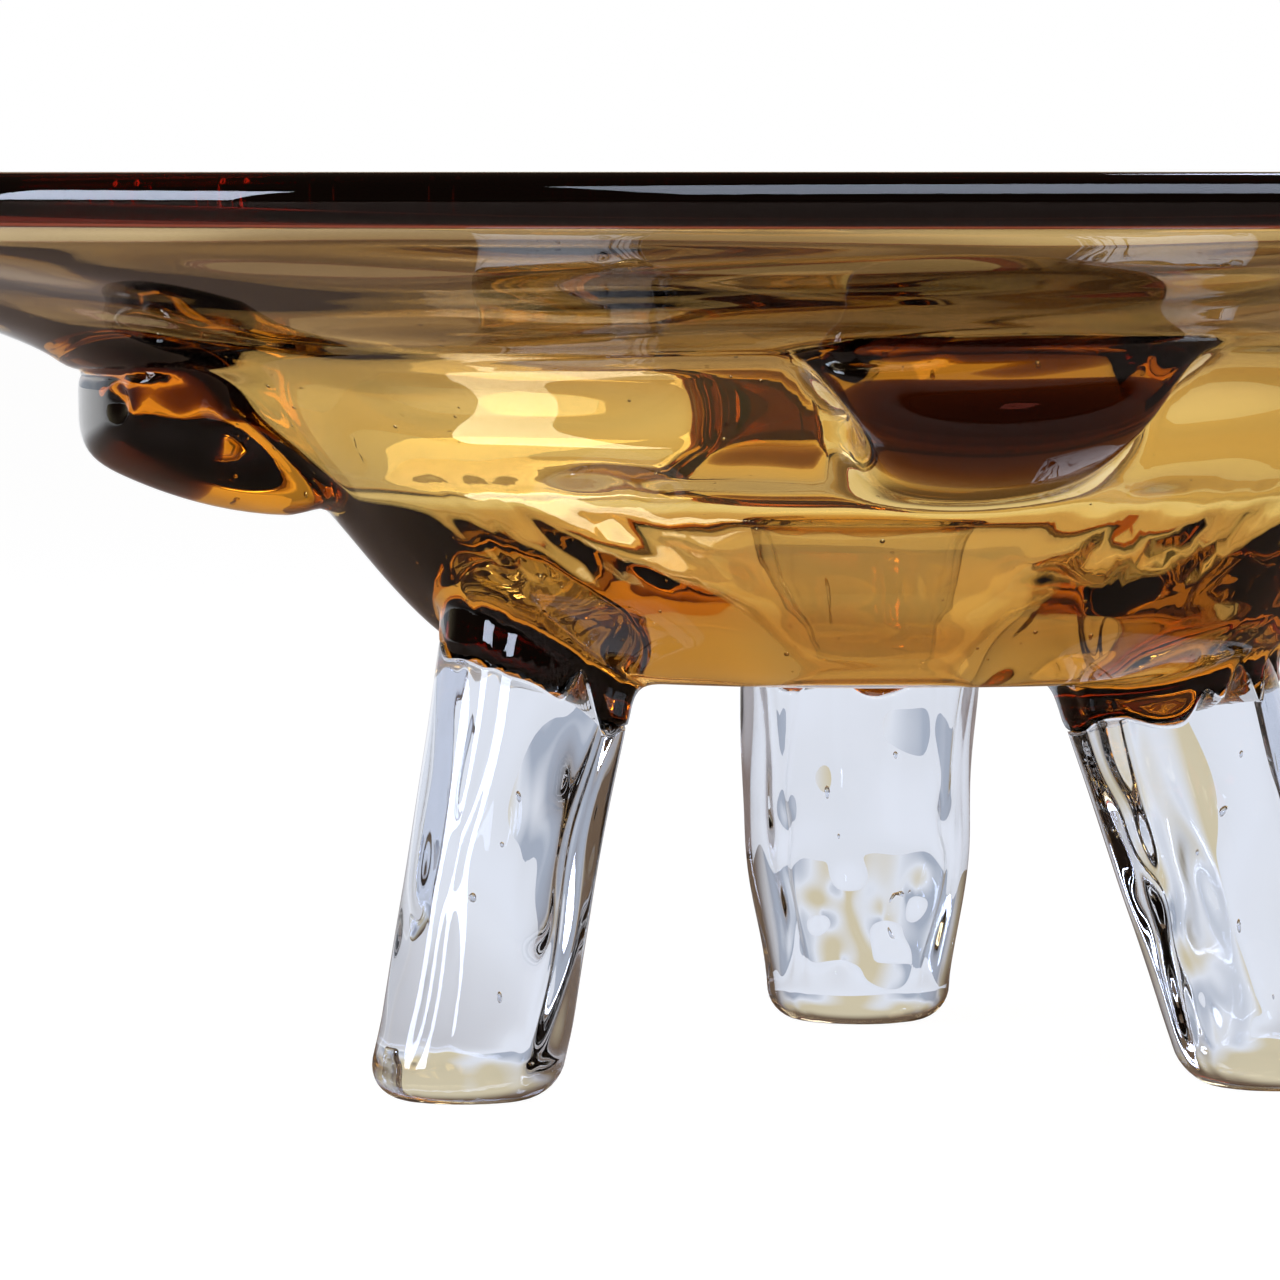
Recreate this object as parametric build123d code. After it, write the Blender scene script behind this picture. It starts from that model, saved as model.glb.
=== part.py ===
from build123d import *
import os

# Hot-worked glass bowl on three legs. Millimetres, +Z up.
# The origin lies on the surface that the legs stand on, on the bowl's own axis.
# The front is towards -Y and the right side is +X.

# Heights
leg_height = 58.0          # from the floor to the underside of the bowl
bowl_depth = 72.0          # from the underside of the bowl to the top of the lip

# Bowl wall, measured on its outer face
flat_radius = 42.0         # flat middle of the underside
heel_radius = 63.5         # where the underside turns up into the wall
heel_rise = 6.1
waist_radius = 82.0        # half-way up the wall
waist_rise = 26.0
shoulder_radius = 113.0    # where the wall turns out into the flare
shoulder_drop = 26.1       # below the top of the lip
rim_drop = 6.5             # the flare's outer face at the lip, below the top of the lip
floor_glass = 7.7
heel_glass = 7.0
wall_glass = 3.4
rim_glass = 3.2

# Lip wrap, the thick rounded coil of darker glass on the rim
rim_radius = 190.0
lip_width = 10.0
lip_glass = 7.0

# Lugs, pulled out of bits of hot glass under the shoulder
lug_names = ["lug_right", "lug_rear", "lug_left", "lug_front"]
lug_angles = [8.0, 98.0, 193.0, 278.0]
lug_lifts = [1.0, 0.0, 0.0, 3.5]         # how far one sits above the others, set by hand
lug_reach = 115.0          # from the bowl's axis to the end of a lug
lug_top_width = 54.0
lug_bottom_width = 31.0
lug_end_height = 15.0
lug_root_height = 23.0
lug_edge_radius = 6.5
lug_end_radius = 6.0

# Leg seats, the amber collars that the legs are fused to. The fused face leans.
seat_overhang = 0.5        # how far a collar is wider than the leg below it
seat_spread = 5.0          # how much wider a collar gets as it runs up the wall
seat_root_height = 22.0    # how far a collar's glass runs up the wall

# Clear legs. Angles are about the bowl's axis, from +X towards +Y.
leg_names = ["left", "right", "rear"]
leg_angles = [214.5, 337.5, 90.0]
foot_radii = [71.5, 62.5, 64.0]          # from the bowl's axis to the middle of a foot
top_insets = [4.0, 18.5, 7.5]            # how far inside the heel a leg's top is, at the underside's height
foot_widths = [27.5, 28.0, 26.5]
top_widths = [28.5, 34.0, 35.0]
seat_drops = [0.5, 5.0, 3.5]             # how far the fused face's middle is below the underside
seat_leans = [22.0, 10.0, 11.0]          # slope of the fused face
seat_lean_ways = [185.0, 0.0, 90.0]      # the way that it rises
foot_edge_radius = 4.5
leg_waist = 0.8                          # how much thinner a leg is half-way up
leg_squash = 0.9                         # depth of a leg's section over its width

top_radii = [heel_radius - inset for inset in top_insets]
rim_height = leg_height + bowl_depth
lip_root_radius = rim_radius - lip_width
lip_mid_height = rim_height - lip_glass / 2
lip_root_height = rim_height - rim_drop

os.makedirs("parts", exist_ok=True)


def outer_wall():
    """The wall's outer face as radius and height, from the underside to the lip."""
    return [
        (flat_radius, leg_height),
        (heel_radius, leg_height + heel_rise),
        (waist_radius, leg_height + waist_rise),
        (shoulder_radius, rim_height - shoulder_drop),
        (lip_root_radius, lip_root_height),
    ]


def inner_wall():
    """The inner face: each outer point moved in by the glass that it has there."""
    outer = outer_wall()
    glass = [floor_glass, heel_glass, wall_glass, wall_glass, rim_glass]
    before = [(0, leg_height)] + outer[:-1]
    after = outer[1:] + [outer[-1]]
    points = []
    for here, back, on, thick in zip(outer, before, after, glass):
        along = Vector(on[0] - back[0], on[1] - back[1]).normalized()
        points.append((here[0] - along.Y * thick, here[1] + along.X * thick))
    points[0] = (flat_radius, leg_height + floor_glass)
    points[-1] = (lip_root_radius, lip_root_height + rim_glass)
    return points


def wall_curve(points):
    """A smooth wall through its points, and then the straight flare."""
    flare = Vector(points[-1][0] - points[-2][0], points[-1][1] - points[-2][1]).normalized()
    side = Spline(*points[:-1], tangents=[(1, 0), (flare.X, flare.Y)])
    return side + Line(points[-2], points[-1])


def turned(profile):
    """A profile drawn as radius and height, turned about the bowl's axis."""
    return revolve(Plane.XZ * make_face(profile), Axis.Z)


def bowl_shape():
    outer = outer_wall()
    inner = inner_wall()
    edges = wall_curve(outer) + Line(outer[-1], inner[-1]) + wall_curve(inner)
    edges += Line((0, leg_height), outer[0]) + Line((0, leg_height), (0, inner[0][1]))
    edges += Line((0, inner[0][1]), inner[0])
    return turned(edges)


def bowl_envelope():
    """The bowl's outer face filled up to the rim, which cuts whatever is fused to it."""
    outer = outer_wall()
    top = rim_height + lip_glass
    edges = wall_curve(outer) + Line((0, leg_height), outer[0])
    edges += Line((0, leg_height), (0, top)) + Line((0, top), (lip_root_radius, top))
    edges += Line(outer[-1], (lip_root_radius, top))
    return turned(edges)


def lip_shape():
    """A coil with a round nose, narrowed to the wall's own thickness where it is fused."""
    under = outer_wall()
    flare = Vector(under[-1][0] - under[-2][0], under[-1][1] - under[-2][1]).normalized()
    top_root = (lip_root_radius, lip_root_height + rim_glass)
    crown = (rim_radius - lip_glass / 2, rim_height)
    belly = (rim_radius - lip_glass / 2, rim_height - lip_glass)
    edges = Spline(top_root, crown, tangents=[(flare.X, flare.Y), (1, 0)])
    edges += ThreePointArc(crown, (rim_radius, lip_mid_height), belly)
    edges += Spline(belly, under[-1], tangents=[(-1, 0), (-1, 0)])
    edges += Line(under[-1], top_root)
    return turned(edges)


def lug_section(reach, height):
    """An upside-down bucket shape, wide at the top, across the way that the lug points."""
    top = rim_height - shoulder_drop + wall_glass
    plane = Plane(origin=(reach, 0, top), x_dir=(0, 1, 0), z_dir=(1, 0, 0))
    corners = [
        (-lug_top_width / 2, 0),
        (lug_top_width / 2, 0),
        (lug_bottom_width / 2, -wall_glass - height),
        (-lug_bottom_width / 2, -wall_glass - height),
    ]
    outline = make_face(Polyline(*corners, close=True))
    return plane * fillet(outline.vertices(), lug_edge_radius)


def lug_shape(k, envelope):
    root = lug_section(heel_radius, lug_root_height)
    end = lug_section(lug_reach, lug_end_height)
    lug = loft([root, end])
    end_edges = lug.faces().sort_by(Axis.X)[-1].edges()
    lug = fillet(end_edges, lug_end_radius)
    return (Pos(0, 0, lug_lifts[k]) * lug).rotate(Axis.Z, lug_angles[k]) - envelope


def leg_section(k, height, width):
    """A leg's level section at a height, on the leaning line from its foot to its top."""
    share = height / leg_height
    reach = foot_radii[k] + share * (top_radii[k] - foot_radii[k])
    middle = Plane.XY.offset(height) * Rot(0, 0, leg_angles[k]) * Pos(reach, 0)
    return middle * Rot(0, 0, 90) * Ellipse(width / 2, width / 2 * leg_squash)


def fused_face(k):
    """The leaning plane on which a clear leg is fused to its collar."""
    level = leg_height - seat_drops[k]
    share = level / leg_height
    reach = foot_radii[k] + share * (top_radii[k] - foot_radii[k])
    middle = Vector(reach, 0, level).rotate(Axis.Z, leg_angles[k])
    turn = Rot(0, 0, seat_lean_ways[k]) * Rot(0, -seat_leans[k], 0)
    return Plane(Pos(middle) * turn)


def leg_shape(k):
    top_level = leg_height + seat_root_height / 2
    foot = leg_section(k, 0, foot_widths[k])
    middle = leg_section(k, leg_height / 2, (foot_widths[k] + top_widths[k]) / 2 - leg_waist)
    top = leg_section(k, top_level, top_widths[k])
    leg = loft([foot, middle, top])
    leg = fillet(leg.faces().sort_by(Axis.Z)[0].edges(), foot_edge_radius)
    return split(leg, bisect_by=fused_face(k), keep=Keep.BOTTOM)


def seat_shape(k, envelope):
    low_level = leg_height - seat_root_height / 2
    low = leg_section(k, low_level, top_widths[k] + seat_overhang)
    high = leg_section(k, leg_height + seat_root_height, top_widths[k] + seat_spread)
    seat = split(loft([low, high]), bisect_by=fused_face(k), keep=Keep.TOP)
    return seat - envelope


envelope = bowl_envelope()
nodes = {"bowl": bowl_shape(), "lip_wrap": lip_shape()}
for k, name in enumerate(lug_names):
    nodes[name] = lug_shape(k, envelope)
for k, name in enumerate(leg_names):
    nodes["leg_seat_" + name] = seat_shape(k, envelope)
    nodes["leg_" + name] = leg_shape(k)

for name, shape in nodes.items():
    solids = shape.solids()
    size = shape.bounding_box().size
    print(f"{name}: {len(solids)} solid, {shape.volume / 1000:.1f} cm3, "
          f"{size.X:.1f} x {size.Y:.1f} x {size.Z:.1f} mm")
    export_step(solids[0], f"parts/{name}.step")
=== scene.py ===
"""Shallow amber bowl of hot-worked glass on three clear legs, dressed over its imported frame."""

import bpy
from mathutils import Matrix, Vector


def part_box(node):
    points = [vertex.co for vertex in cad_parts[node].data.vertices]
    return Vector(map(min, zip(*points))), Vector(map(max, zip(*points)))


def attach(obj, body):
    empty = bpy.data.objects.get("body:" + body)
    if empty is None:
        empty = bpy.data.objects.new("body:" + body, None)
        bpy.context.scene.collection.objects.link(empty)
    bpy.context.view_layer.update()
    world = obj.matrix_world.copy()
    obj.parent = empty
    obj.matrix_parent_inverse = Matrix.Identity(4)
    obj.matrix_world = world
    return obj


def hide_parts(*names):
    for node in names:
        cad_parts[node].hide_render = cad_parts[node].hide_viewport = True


bl_info = {
    "name": "Footed Glass Bowl",
    "version": (1, 0, 0),
    "blender": (4, 5, 0),
    "location": "3D View > Sidebar > Glass Bowl",
    "description": "Makes the fused amber bowl, its lip wrap, clear legs, bubbles and studio",
    "category": "Object",
}

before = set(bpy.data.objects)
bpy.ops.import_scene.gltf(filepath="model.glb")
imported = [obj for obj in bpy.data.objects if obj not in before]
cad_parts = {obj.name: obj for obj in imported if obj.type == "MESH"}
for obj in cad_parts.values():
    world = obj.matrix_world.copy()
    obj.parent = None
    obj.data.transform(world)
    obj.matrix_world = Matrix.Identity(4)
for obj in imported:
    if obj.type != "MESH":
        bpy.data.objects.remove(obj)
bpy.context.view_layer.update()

import math

import bpy
import numpy as np
from bpy.props import FloatProperty, FloatVectorProperty, IntProperty, PointerProperty
from mathutils import Vector

MM = 0.001
LIP_LOW, LIP_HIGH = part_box("lip_wrap")
BOWL_LOW, BOWL_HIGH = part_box("bowl")
RIM_RADIUS = LIP_HIGH.x / MM
RIM_TOP = LIP_HIGH.z / MM
LIP_GLASS = (LIP_HIGH.z - LIP_LOW.z) / MM
LIP_ROOT = BOWL_HIGH.x / MM
UNDERSIDE = BOWL_LOW.z / MM


def rgb(code):
    """An sRGB hex colour as the linear values that Blender uses."""
    parts = [int(code[n:n + 2], 16) / 255 for n in (0, 2, 4)]
    return [c / 12.92 if c <= 0.04045 else ((c + 0.055) / 1.055) ** 2.4 for c in parts]


# ---- Shapes, in millimetres ----

# Each lug: where it points, its width and reach against the common size, its tilt and lift, the
# dents that fingers and tools left in its sides and end (place, level, length, rise, depth),
# half the height of the ledge along its top (0 for none), and where its dark core starts and how
# high it goes
LUGS = {
    "lug_right": {
        "angle": 8.0, "width": 1.00, "reach": 0.99, "tilt": 0.03, "lift": 1.0,
        "pits": ((106.0, 94.0, 6.0, 4.0, 3.0),), "end_pits": ((-6.0, 95.0, 6.0, 4.0, 1.5),),
        "ledge": 2.6, "core": 96.0, "top": 98.6,
    },
    "lug_rear": {
        "angle": 95.0, "width": 0.90, "reach": 1.00, "tilt": -0.04, "lift": 0.0,
        "pits": ((101.0, 93.5, 8.0, 4.4, 3.2),), "end_pits": ((4.0, 95.0, 6.0, 4.0, 1.2),),
        "ledge": 2.6, "core": 107.0, "top": 97.0,
    },
    "lug_left": {
        "angle": 193.0, "width": 1.00, "reach": 1.00, "tilt": 0.02, "lift": 0.0,
        "pits": ((108.0, 95.0, 3.8, 3.2, 3.0), (96.5, 94.6, 6.5, 4.4, 3.8)),
        "end_pits": ((17.0, 97.5, 3.0, 3.0, 1.4),),
        "ledge": 2.9, "core": 98.0, "top": 96.0,
    },
    "lug_front": {
        "angle": 278.0, "width": 1.00, "reach": 1.00, "tilt": 0.05, "lift": 4.5,
        "pits": ((101.0, 93.5, 8.0, 4.4, 2.0),), "end_pits": ((0.0, 97.0, 14.0, 3.4, 0.8),),
        "ledge": 0, "core": 97.0, "top": 98.8,
    },
}
LUG_REACH = 115.0       # from the bowl's axis to the common lug's end
LUG_UNDERSIDE = 81.0    # height of its lowest part
LUG_TOP = 101.6         # and of its top, under the ledge
LUG_HALF_WIDTH = 15.0   # at the height below, and widening upwards
LUG_WIDENS = (82.0, 20.0, 11.5)     # from this height, over this rise, by this much
LEDGE_AT = (100.5, 104.0)           # the ledge's middle: from the axis, and up
LEDGE_HALF = (16.0, 27.5)           # half its depth and half its length
LUG_ROOT = 98.0         # from the bowl's axis to the middle of a lug's joint
LUG_FILLET = 4.0        # reach of the fused fillet round it
CORE_SKIN = 1.5         # amber glass over the dark core
CORE_UNDERSIDE = 84.5
CORE_MIDDLE = (109.0, 93.0)         # a point well inside each core: from the axis, and up
CORE_REACH = 40         # no core reaches further than this from it

# Each leg: the middle of its foot and top from the bowl's axis, its widths at the foot, half-way up
# and at the top, how far its collar hangs down, the slope of the fused face and which way it rises,
# and its ripples. Climbs are tongues of clear glass up the collar (direction, rise, spread), creases
# run up the leg (direction, drift, depth, spread), and dents are single (direction, level, depth,
# spread, rise). Directions are in degrees, lengths in millimetres
LEGS = {
    "left": {
        "angle": 214.5, "foot": 71.5, "top": 59.5, "widths": (27.5, 27.2, 28.5), "drop": 0.5,
        "lean": 0.42, "lean_to": 185.0, "phase": 0.6, "ripple": 0.30,
        "climbs": ((188.0, 3.0, 12.0), (301.0, 7.5, 8.0), (322.0, -2.5, 9.0), (250.0, 0.8, 6.0)),
        "creases": ((232.0, 0.35, 0.45, 5.0), (262.0, -0.55, 0.30, 6.0), (306.0, 0.30, 0.40, 6.0),
                    (60.0, 0.40, 0.60, 8.0), (120.0, -0.50, 0.50, 7.0)),
        "dents": ((205.0, 22.0, 0.7, 14.0, 5.0), (285.0, 38.0, 0.5, 16.0, 6.0),
                  (90.0, 26.0, 1.0, 30.0, 12.0), (330.0, 24.0, -0.6, 20.0, 8.0)),
    },
    "right": {
        "angle": 337.5, "foot": 62.5, "top": 45.0, "widths": (28.0, 31.0, 34.0), "drop": 5.0,
        "lean": 0.18, "lean_to": 0.0, "phase": 2.1, "ripple": 0.45,
        "climbs": ((282.0, 3.0, 7.0), (304.0, 8.0, 10.0), (334.0, 7.0, 12.0), (318.0, -2.0, 5.0)),
        "creases": ((216.0, 0.50, 0.70, 6.0), (236.0, -0.40, 0.60, 6.0), (290.0, 0.55, 0.35, 6.0),
                    (30.0, -0.60, 0.60, 8.0), (95.0, 0.30, 0.50, 7.0)),
        "dents": ((225.0, 40.0, 0.8, 12.0, 4.0), (228.0, 28.0, 0.9, 12.0, 4.0),
                  (235.0, 16.0, 0.8, 14.0, 4.0), (270.0, 30.0, 0.6, 18.0, 7.0),
                  (60.0, 20.0, 0.9, 30.0, 9.0)),
    },
    "rear": {
        "angle": 90.0, "foot": 64.0, "top": 56.0, "widths": (26.5, 33.0, 35.0), "drop": 3.5,
        "lean": 0.20, "lean_to": 90.0, "phase": 4.4, "ripple": 0.45,
        "climbs": ((250.0, 3.0, 15.0),),
        "creases": ((212.0, 0.30, 0.80, 5.0), (226.0, -0.30, 0.60, 5.0), (318.0, 0.35, 0.80, 5.0),
                    (330.0, -0.30, 0.60, 5.0)),
        "dents": ((242.0, 18.0, 1.0, 10.0, 3.0), (262.0, 21.0, -0.7, 9.0, 3.0),
                  (284.0, 17.0, 1.0, 9.0, 3.0), (305.0, 21.0, 0.9, 10.0, 3.5),
                  (255.0, 10.5, 0.8, 11.0, 3.0), (292.0, 9.5, -0.6, 12.0, 3.0),
                  (222.0, 30.0, 0.9, 8.0, 4.0), (322.0, 31.0, 0.9, 8.0, 4.0),
                  (90.0, 24.0, 1.0, 35.0, 9.0)),
    },
}
COLLAR_PROUD = 0.25     # how far a collar stands out over its leg
COLLAR_RISE = 26.0      # how far it reaches up into the bowl
COLLAR_FILLET = 5.0     # reach of the fused fillet round it
LEG_OVERLAP = 0.04      # how far a leg reaches into the amber, so that no film of air shows
LIP_OVERLAP = 0.03      # the same for the lip wrap
FOOT_EDGE = 5.5         # rounding of the ground foot
SEED_BAND = (50, 162)   # from which radius to which the amber glass has bubbles
SEED_DEPTH = 0.45       # where they lie between its outer face and its inner one

# How finely each piece is drawn
OUTER_RINGS = (14, 94, 22)  # under the floor, up the wall with its lugs and collars, and the flare
INNER_RINGS = 76
LIP_SPOKES = 360
LEG_SPOKES = 200
LEG_RINGS = (9, 9, 109, 19)     # the foot's flat, its rounded edge, the side and the fused face
CORE_GRID = (40, 72)
SEED_GRID = (40, 90)
PUSH_STEPS = 60         # steps that bring points out of a lug or a collar
RELAX_ROUNDS = 70       # rounds that then spread the points evenly over the outer face
RELAX_SHARE = 0.6


def ease(x, low, high):
    """Rises smoothly from 0 at low to 1 at high."""
    t = np.clip((x - low) / (high - low), 0, 1)
    return t * t * t * (t * (t * 6 - 15) + 10)


def eased_area(x, low, high):
    """The area under ease(), so that a slope made of eases gives a smooth height."""
    t = np.clip((x - low) / (high - low), 0, 1)
    return (high - low) * t ** 4 * (t * t - 3 * t + 2.5) + np.maximum(x - high, 0)


def join(a, b, size):
    """Union of two distance fields with a fillet."""
    h = np.maximum(size - np.abs(a - b), 0) / size
    return np.minimum(a, b) - h ** 3 * size / 6


def meet(a, b, size):
    """What two distance fields share, with a rounded edge."""
    return -join(-a, -b, size)


def bump_at(x, middle, width):
    """1 at the middle, falling away smoothly on both sides."""
    return np.exp(-((x - middle) / width) ** 2)


# Where the wall's slope changes, from one radius to another, and by how much
BENDS = [(1.19, 42.0, 77.0), (-0.58, 75.0, 88.0), (-0.34, 104.0, 114.0), (0.10, 112.0, 134.0),
         (-0.29, 165.0, 179.0)]


def wall_slope(r):
    """Slope of the bowl's outer face at a radius."""
    return sum(change * ease(r, low, high) for change, low, high in BENDS)


def wall_height(r):
    """Height of the bowl's outer face at a radius."""
    return UNDERSIDE + sum(change * eased_area(r, low, high) for change, low, high in BENDS)


def turned(around, degrees):
    """Angle from a direction, in degrees."""
    return np.degrees(np.angle(np.exp(1j * (around - np.radians(degrees)))))


def sway(x, y):
    """How far the shoulder stands above its mean height: hand work is not quite round."""
    r, around = np.hypot(x, y), np.arctan2(y, x)
    broad = 5.0 * (0.5 + 0.5 * np.cos(around - math.radians(285))) ** 2
    narrow = 2.8 * np.exp(-(turned(around, 213.0) / 15.0) ** 2)
    return (broad + narrow) * ease(r, 82, 112) * (1 - ease(r, 116, 178))


# The inside is a plain curve, so the glass is heavy at the floor, and heavier over the legs
FLOOR_GLASS = 3.8
WALL_GLASS = 1.95
FLARE_GLASS = 0.20      # more than the wall's, short of the lip
LIP_EDGE_GLASS = 0.8    # more than the wall's, at the lip
# The inner face bends this much further in than the outer one does, as in a wall of even thickness
BEND_LEAD = 4.0
# Where the flare is thicker near the wall: direction, spread, how much, from which radius to which
THINNING = ((240.0, 20.0, 0.3, 118.0, 156.0), (305.0, 9.0, 0.2, 124.0, 156.0))
# Directions of the heavy glass over the legs, how much of it, and its spread in degrees
HEAVY_AT = ((236.0, 0.55), (303.0, 0.55), (90.0, 0.15))
HEAVY_SPREAD = 16.0


def creases(x, y):
    """Folds in the inner face where the wall was pressed from below by a leg."""
    r, around = np.hypot(x, y), np.arctan2(y, x)
    total = 0
    for n, (at, share) in enumerate(HEAVY_AT):
        across = np.radians(turned(around, at)) * r
        patch = np.exp(-((r - 72) / 9.0) ** 4 - (across / 20.0) ** 4)
        first = 1 - np.abs(np.sin(0.21 * across + 1.6 * np.sin(0.27 * r + n) + n))
        second = 1 - np.abs(np.sin(0.24 * r - 0.10 * across + 1.7 * np.sin(0.21 * across + 2 * n)))
        total = total + share * patch * (0.9 * first ** 2 + 0.8 * second ** 2)
    return total


def inner_height(x, y):
    """Height of the bowl's inner face."""
    r, around = np.hypot(x, y), np.arctan2(y, x)
    heavy = sum(share * np.exp(-(turned(around, at) / HEAVY_SPREAD) ** 4) for at, share in HEAVY_AT)
    low = UNDERSIDE + FLOOR_GLASS
    light_well = low + 0.80 * eased_area(r, 32, 66)
    heavy_well = low + 0.42 * eased_area(r, 16, 54) + 0.45 * eased_area(r, 58, 72)
    well = light_well + heavy * (heavy_well - light_well)
    thick = WALL_GLASS + LIP_EDGE_GLASS * ease(r, 162, 178) + FLARE_GLASS * (1 - ease(r, 154, 166))
    for at, spread, extra, start, stop in THINNING:
        thick = thick + extra * np.exp(-(turned(around, at) / spread) ** 2) * (1 - ease(r, start, stop))
    flare = wall_height(r + BEND_LEAD) + thick
    ahead = 1 + BEND_LEAD / np.maximum(r, 1.0)
    return well + ease(r, 78, 104) * (flare - well) + sway(x * ahead, y * ahead) + creases(x, y)


def hand_waves(x, y, z, seed):
    """Slow waves, as glass has that was worked soft, between about -1 and 1."""
    a = np.sin(x * 0.061 + 1.3 * seed) * np.sin(y * 0.057 + 0.7 * seed + 0.8 * np.sin(x * 0.031))
    b = np.sin(x * 0.113 + y * 0.091 + 2.1 * seed) * np.sin(y * 0.127 - x * 0.043 + z * 0.05)
    return 0.65 * a + 0.35 * b


def spun_lines(x, y, seed):
    """Faint rings left by turning the bowl, a few hundredths of a millimetre high."""
    r, around = np.hypot(x, y), np.arctan2(y, x)
    drift = 1.5 * np.sin(around + seed) + np.sin(2 * around - 3 * seed)
    first = np.sin(0.62 * r + drift) * np.sin(0.21 * r - 0.7 * drift + seed)
    return 0.012 * first * ease(r, 30, 70) * (1 - ease(r, 166, 178))


def along(p, degrees):
    """Points in the frame of a piece that points in a direction: outwards, and across."""
    turn = math.radians(degrees)
    return (p[:, 0] * math.cos(turn) + p[:, 1] * math.sin(turn),
            p[:, 1] * math.cos(turn) - p[:, 0] * math.sin(turn))


def lug_field(p, lug):
    """A lug: a tapered, rounded slab with a rolled ledge along its top."""
    x, y = along(p, lug["angle"])
    z = p[:, 2] - lug["tilt"] * y - lug["lift"]
    bottom = (LUG_UNDERSIDE + 0.009 * np.maximum(x - 84, 0) ** 2 + 0.05 * np.maximum(87 - x, 0) ** 2
              + 0.010 * y ** 2)
    start, rise, more = LUG_WIDENS
    half = lug["width"] * (LUG_HALF_WIDTH + more * np.clip((z - start) / rise, -0.5, 1.1))
    side = np.abs(y) - half
    for at, level, length, rise, depth in lug["pits"]:
        side = side + depth * bump_at(x, at, length) * bump_at(z, level, rise)
    end = x - LUG_REACH * lug["reach"] + 0.005 * y ** 2
    for at, level, length, rise, depth in lug["end_pits"]:
        end = end + depth * bump_at(y, at, length) * bump_at(z, level, rise)
    field = meet(side * 0.86, end, 9)
    field = meet(field, bottom - z, 6)
    field = meet(field, z - LUG_TOP, 3)
    if not lug["ledge"]:
        return field
    ledge = ((np.abs(x - LEDGE_AT[0]) / LEDGE_HALF[0]) ** 3 + (np.abs(y) / LEDGE_HALF[1]) ** 3
             + (np.abs(z - LEDGE_AT[1]) / lug["ledge"]) ** 3) ** (1 / 3)
    return join(field, (ledge - 1) * 3.4, 1.0)


def lug_core_field(p, lug):
    """The darker gather inside a lug, under a skin of amber."""
    r = np.hypot(p[:, 0], p[:, 1])
    level = wall_height(r) + sway(p[:, 0], p[:, 1])
    below = (p[:, 2] - level - 1.4) / np.sqrt(1 + wall_slope(r) ** 2)
    field = meet(lug_field(p, lug) + CORE_SKIN, p[:, 2] - lug["lift"] - lug["top"], 4)
    field = meet(field, CORE_UNDERSIDE + lug["lift"] - p[:, 2], 4)
    field = meet(field, lug["core"] - along(p, lug["angle"])[0], 4)
    return meet(field, below, 3)


def leg_line(leg, height):
    """Middle of a leg at a height, as x and y."""
    share = height / UNDERSIDE
    reach = leg["foot"] + share * (leg["top"] - leg["foot"])
    turn = math.radians(leg["angle"])
    return reach * math.cos(turn), reach * math.sin(turn)


def leg_radius(leg, height, around):
    """A leg's radius at a height and direction: squeezed, creased and dented by the tools."""
    share = height / UNDERSIDE
    low, middle, high = leg["widths"]
    width = low + (middle - low) * ease(share, 0.0, 0.55) + (high - middle) * ease(share, 0.45, 1.1)
    phase = leg["phase"]
    turn = math.radians(leg["angle"])
    squeeze = -0.045 * np.cos(2 * (around - turn)) + 0.02 * np.cos(3 * around + phase)
    ridges = 0.35 * np.sin(7 * around + phase + 0.05 * height)
    lumps = np.sin(height * 0.09 + 3 * around + phase) * np.sin(height * 0.06 - 2 * around + 2 * phase)
    knocks = np.sin(height * 0.16 + 9 * around + 1.7 * phase) * np.sin(height * 0.11 - 4 * around)
    relief = leg["ripple"] * (ridges * 0.6 + lumps * 0.8 + knocks * 0.3)
    for at, drift, depth, spread in leg["creases"]:
        wander = at + drift * height + 3 * np.sin(0.17 * height + at)
        relief = relief - depth * np.exp(-(turned(around, wander) / spread) ** 2)
    for at, level, depth, spread, rise in leg["dents"]:
        relief = relief - depth * np.exp(-(turned(around, at) / spread) ** 2) * bump_at(height, level, rise)
    fade = ease(height, 2, 12)
    return width / 2 * (1 + squeeze) + fade * relief


def leg_ring(leg, radius, height, around):
    """A ring of points round a leg's middle."""
    cx, cy = leg_line(leg, height)
    return np.stack([cx + radius * np.cos(around), cy + radius * np.sin(around), height + 0 * around], -1)


def collar_level(leg, x, y):
    """Height of the fused face between a leg and its amber collar, with its tongues."""
    base = UNDERSIDE - leg["drop"]
    cx, cy = leg_line(leg, base)
    turn = math.radians(leg["lean_to"])
    base = base + leg["lean"] * ((x - cx) * math.cos(turn) + (y - cy) * math.sin(turn))
    around = np.arctan2(y - cy, x - cx)
    out = np.clip(np.hypot(x - cx, y - cy) / 15.0, 0, 1.2)
    level = base + 0.9 * np.sin(3 * around + leg["phase"]) * out
    level = level + 0.5 * np.sin(7 * around - leg["phase"]) * out ** 2
    for direction, rise, spread in leg["climbs"]:
        level = level + rise * np.exp(-(turned(around, direction) / spread) ** 2) * out ** 3
    return level


def collar_field(p, leg):
    """The amber collar over a leg's top, a little prouder than the leg."""
    cx, cy = leg_line(leg, p[:, 2])
    dx, dy = p[:, 0] - cx, p[:, 1] - cy
    around = np.arctan2(dy, dx)
    side = np.hypot(dx, dy) - leg_radius(leg, p[:, 2], around) - COLLAR_PROUD
    under = collar_level(leg, p[:, 0], p[:, 1]) - p[:, 2]
    field = meet(side, under, 2.2)
    return meet(field, p[:, 2] - UNDERSIDE - COLLAR_RISE, 3)


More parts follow.
